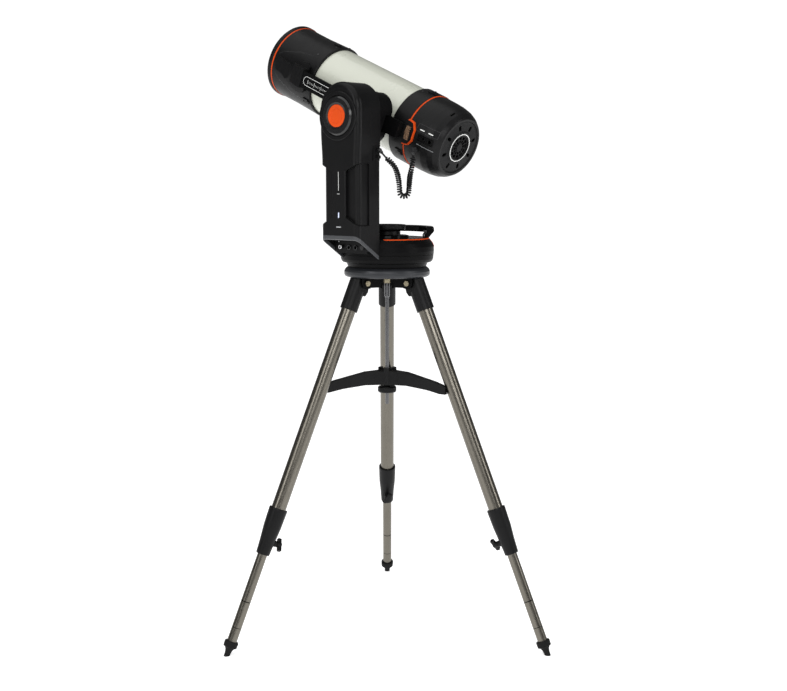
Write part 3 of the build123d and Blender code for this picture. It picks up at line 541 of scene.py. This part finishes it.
def helix_line():
    """The wire's own centre line: a lead, then turns round the route, then a tail.
    The coil's radius and pitch vary a little along it, as on a used cable."""
    route = spline_points()
    lengths = [0.0]
    for first, second in zip(route, route[1:]):
        lengths.append(lengths[-1] + (second - first).length)
    total = lengths[-1]
    across = Vector((0.3, 1.0, 0.2))
    line, index, distance, turn = [], 0, 0.0, 0.0
    while distance < total:
        while index < len(lengths) - 2 and lengths[index + 1] < distance:
            index += 1
        share = (distance - lengths[index]) / max(1e-9, lengths[index + 1] - lengths[index])
        here = route[index].lerp(route[index + 1], share)
        along = (route[index + 1] - route[index]).normalized()
        across = (across - along * across.dot(along)).normalized()
        opened = min(1.0, max(0.0, (distance - LEAD) / OPENING))
        closed = min(1.0, max(0.0, (total - TAIL - distance) / CLOSING))
        sway = 1.0 + 0.05 * sin(distance * 0.11) + 0.03 * sin(distance * 0.37 + 1.0)
        radius = HELIX_R * (opened * closed) * sway
        line.append(here + radius * (cos(turn) * across + sin(turn) * along.cross(across)))
        if distance < LEAD or distance > total - TAIL:
            distance += 1.0
        else:
            turn += TURN_STEP
            distance += HELIX_PITCH * (1.0 + 0.10 * sin(distance * 0.063 + 0.4)) * TURN_STEP / (2 * pi)
    line.append(route[-1])
    return line


def swept(line, radius, sides):
    """Points and faces of a round tube along a line, with closed ends."""
    points, faces = [], []
    across = Vector((0.1, 0.2, 1.0))
    count = len(line)
    for index, here in enumerate(line):
        along = (line[min(index + 1, count - 1)] - line[max(index - 1, 0)]).normalized()
        across = (across - along * across.dot(along)).normalized()
        up = along.cross(across)
        for side in range(sides):
            turn = 2 * pi * side / sides
            points.append(here + radius * (cos(turn) * across + sin(turn) * up))
    for index in range(count - 1):
        for side in range(sides):
            after = (side + 1) % sides
            faces.append((index * sides + side, index * sides + after, (index + 1) * sides + after,
                          (index + 1) * sides + side))
    faces.append(tuple(reversed(range(sides))))
    faces.append(tuple((count - 1) * sides + side for side in range(sides)))
    return points, faces


def add_cable():
    line = helix_line()
    points, faces = swept(line, WIRE_R, 10)
    cable = add_mesh("curly_cable", points, faces, "cable_skin", None, "cable_black")
    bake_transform(cable)
    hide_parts("coiled_cable")


add_cable()


# ---------------------------------------------------------------- optical tube's small pieces
INWARD = (0, 1, 0)               # from the arm's outer side towards the tube's middle


def add_rear_ring():
    """A printed ring on the rear grille."""
    outline = [(34.9, 193.7), (35.1, 194.25), (37.2, 194.25), (37.4, 193.7)]
    add_mesh("rear_ring", *turned(outline, 96), "white_print", "tube", "tube_white", TUBE @ AXIS_TO_X)


def add_bar_scale(bar):
    """An outline with even tick marks along the dovetail bar, every fifth one longer."""
    marks = [strip(bar, rounded_box(-271, -62, -11.5, 11.5, 11.0), 1.3, closed=True)]
    first, pitch, count = -255, 5.0, 34
    for number in range(count):
        low, high = (-6, 5.0) if number % 5 == 0 else (-3.5, 1.5)
        x = first + number * pitch
        marks.append(strip(bar, [(x, 0, low), (x, 0, high)], 0.9))
    add_mesh("bar_scale", *merged(marks), "white_print", "tube", "tube_white", TUBE)


def add_port_labels(rear):
    """A frame above the ports with a short bar over each port, and a line below them."""
    frame_line = strip(rear, rounded_box(117, 180, 15, 33, 1.5), 0.8, closed=True)
    add_mesh("port_label_frame", *frame_line, "bright_black", "tube", "black_plastic", TUBE)
    bars = [strip(rear, [(x - 7, 0, 20.5), (x + 7, 0, 20.5)], 3.0, 0.15) for x in (134, 160)]
    add_mesh("port_label_bars", *merged(bars), "white_print", "tube", "tube_white", TUBE)
    line = strip(rear, [(129, 0, -16.5), (180, 0, -19.0)], 0.9)
    add_mesh("port_edge_line", *line, "grey_print", "tube", "rim_grey", TUBE)


def add_vent_mesh(rear):
    """Two crossing sets of slanting wires over the side vent."""
    left, right, low, high = 87.5, 103.5, -19.0, 16.0
    pitch, slant, steps = 3.2, 0.62, 14
    wires = []
    for sign in (1, -1):
        for number in range(-12, 22):
            foot = 84 + number * pitch
            path = []
            for step in range(steps + 1):
                z = low + (high - low) * step / steps
                x = foot + sign * (z - low) * slant
                if left <= x <= right:
                    path.append((x, 0, z))
            if len(path) > 2:
                wires.append(strip(rear, path, 0.8, 0.35, step=2.0))
    add_mesh("vent_mesh", *merged(wires), "bronze", "tube", "brass_gear", TUBE)


def add_front_seams(front):
    """Seams above and below the front cell's stepped pad."""
    seams = [[(-300, 0, 58), (-345, 0, 52), (-396, 0, 36), (-408, 0, 26)],
             [(-300, 0, -62), (-342, 0, -60), (-392, 0, -40), (-406, 0, -26)]]
    lines = [strip(front, path, 1.0, 0.3) for path in seams]
    add_mesh("front_seams", *merged(lines), "gloss_black", "tube", "black_plastic", TUBE)


rear_side = Surface(["rear_housing", "rear_cell"], TUBE, INWARD)
front_side = Surface(["front_cell"], TUBE, INWARD)
add_rear_ring()
add_bar_scale(Surface(["dovetail_bar"], TUBE, INWARD))
add_port_labels(rear_side)
add_vent_mesh(rear_side)
add_front_seams(front_side)


def screw_head(radius, socket):
    """A socket-head screw's visible head: chamfered rim and a recessed hexagon-like well."""
    outline = [(0.0, 0.0), (radius, 0.0), (radius, 0.5 * radius), (radius * 0.86, 0.66 * radius),
               (socket, 0.66 * radius), (socket * 0.9, 0.2 * radius), (0.0, 0.2 * radius)]
    return turned(outline, 18)


def stand_on(surface, place, shape):
    """A shape whose z axis stands on a surface at a place."""
    spot = surface.at(place, -0.2)
    tip = surface.at(place, 1.0)
    rotation = (tip - spot).to_track_quat("Z", "Y").to_matrix()
    points, faces = shape
    return [rotation @ Vector(p) + spot for p in points], faces


def add_cell_screws():
    """Screws in the side of the front cell, and on top of both cells."""
    top = Surface(["front_cell", "rear_cell"], TUBE, (0, 0, -1))
    heads = [stand_on(front_side, (-291, 0, z), screw_head(2.4, 1.2)) for z in (66, -66)]
    heads += [stand_on(top, (x, y, 0), screw_head(2.2, 1.1)) for x in (-275, 48) for y in (-30, 25)]
    add_mesh("cell_screws", *merged(heads), "bright_black", "tube", "steel", TUBE)


add_cell_screws()


# ---------------------------------------------------------------- arm's small pieces
def add_arm_marks():
    """A line, a light and a slot plate down the middle of the arm's outer face."""
    arm = Surface(["arm_outer_shell", "arm_rim_band"], MOUNT, INWARD)
    index_line = [strip(arm, [(0, 0, 1168), (0, 0, 1214)], 1.4),
                  strip(arm, [(-3.5, 0, 1160), (3.5, 0, 1160)], 1.4)]
    add_mesh("arm_index_line", *merged(index_line), "white_print", "fork", "tube_white", MOUNT)
    light = strip(arm, [(0, 0, 1101), (0, 0, 1114)], 4.0, 0.5)
    add_mesh("arm_light", *light, "light_lens", "fork", "rim_grey", MOUNT)
    slot_plate = strip(arm, [(-7.5, 0, 1078), (7.5, 0, 1078)], 3.0, 0.4)
    add_mesh("arm_slot_plate", *slot_plate, "grey_print", "fork", "rim_grey", MOUNT)


def facing_out(shape, x, y, z):
    """A turned shape moved to a place, with its axis along -y."""
    points, faces = shape
    return [(x + px, y - pz, z + py) for px, py, pz in points], faces


def add_panel_details():
    """Jack collars, a metal socket and two screws on the port panel."""
    collar = [(4.3, -2.0), (6.2, -2.0), (6.2, 0.5), (5.6, 1.0), (4.9, 1.0), (4.3, 0.3)]
    collars = [facing_out(turned(collar, 28), x, -139, 1025) for x in (-10.0, 11.5)]
    add_mesh("jack_collars", *merged(collars), "bright_black", "fork", "gloss_black", MOUNT)
    barrel = [(2.6, 0.0), (4.9, 0.0), (4.9, 1.2), (5.4, 1.4), (5.4, 6.5), (4.6, 7.4), (3.4, 7.4), (2.6, 6.8)]
    socket = facing_out(turned(barrel, 28), -34, -139.5, 1026)
    add_mesh("silver_socket", *socket, "chrome", "fork", "steel", MOUNT)
    panel = Surface(["port_panel"], MOUNT, INWARD)
    screws = [stand_on(panel, (x, 0, 1039), screw_head(1.8, 0.9)) for x in (-45, 45)]
    add_mesh("panel_screws", *merged(screws), "steel", "fork", "steel", MOUNT)


add_arm_marks()
add_panel_details()


# ---------------------------------------------------------------- floor and lights
FLOOR_REACH, FLOOR_GLOW = 26.0, 0.62
SKY_ON_OBJECT, SKY_TO_CAMERA = 0.13, 1.05


def add_stage():
    """A pale round floor. It glows a little, so that it stays even out to the horizon."""
    data = bpy.data.meshes.new("floor")
    count = 96
    turns = [2 * pi * step / count for step in range(count)]
    ring = [(FLOOR_REACH * cos(turn), FLOOR_REACH * sin(turn), 0.0) for turn in turns]
    data.from_pydata(ring, [], [tuple(range(count))])
    floor = bpy.data.objects.new("floor", data)
    bpy.context.scene.collection.objects.link(floor)
    tree = Tree("floor_white")
    where = tree.place()
    shade = tree.mix(tree.noise(where, 2.0), (0.90, 0.90, 0.90), (0.92, 0.92, 0.92))
    material = tree.finish(shade, tree.spread(tree.noise(where, 5.0), 0.0, 1.0, 0.7, 0.8),
                           tree.bump(tree.noise(where, 40.0), 0.00001), Specular_IOR_Level=0.0,
                           Emission_Color=(1, 1, 1, 1), Emission_Strength=FLOOR_GLOW)
    data.materials.append(material)


def add_area(name, place, target, size, power):
    """A rectangular light that faces a target."""
    data = bpy.data.lights.new(name, "AREA")
    data.shape = "RECTANGLE"
    data.size, data.size_y = size
    data.energy = power
    lamp = bpy.data.objects.new(name, data)
    lamp.location = place
    lamp.rotation_euler = (Vector(target) - Vector(place)).to_track_quat("-Z", "Y").to_euler()
    bpy.context.scene.collection.objects.link(lamp)


def add_sky_light():
    """One very wide, soft light from above that whitens the floor evenly out to the horizon."""
    data = bpy.data.lights.new("sky_light", "SUN")
    data.energy = 1.65
    data.angle = radians(80.0)
    lamp = bpy.data.objects.new("sky_light", data)
    lamp.rotation_euler = (radians(14.0), radians(-8.0), 0.0)
    bpy.context.scene.collection.objects.link(lamp)


def add_world():
    """White to the camera, a dimmer soft sky to the object."""
    world = bpy.data.worlds.new("studio")
    bpy.context.scene.world = world
    world.use_nodes = True
    tree = world.node_tree
    background = tree.nodes["Background"]
    path = tree.nodes.new("ShaderNodeLightPath")
    mix = tree.nodes.new("ShaderNodeMapRange")
    mix.inputs["To Min"].default_value = SKY_ON_OBJECT
    mix.inputs["To Max"].default_value = SKY_TO_CAMERA
    tree.links.new(path.outputs["Is Camera Ray"], mix.inputs["Value"])
    tree.links.new(mix.outputs["Result"], background.inputs["Strength"])
    background.inputs["Color"].default_value = (1, 1, 1, 1)


add_stage()
add_world()
add_sky_light()
add_area("left_light", (-2.6, -2.4, 2.4), (0, 0, 1.1), (1.2, 2.6), 34)
add_area("front_light", (0.4, -4.6, 2.6), (0, 0, 1.2), (2.6, 1.6), 68)
add_area("right_light", (2.8, -1.2, 2.0), (0, 0, 1.1), (0.7, 2.6), 26)
bpy.context.scene.view_settings.view_transform = "Standard"
bpy.context.scene.view_settings.look = "None"
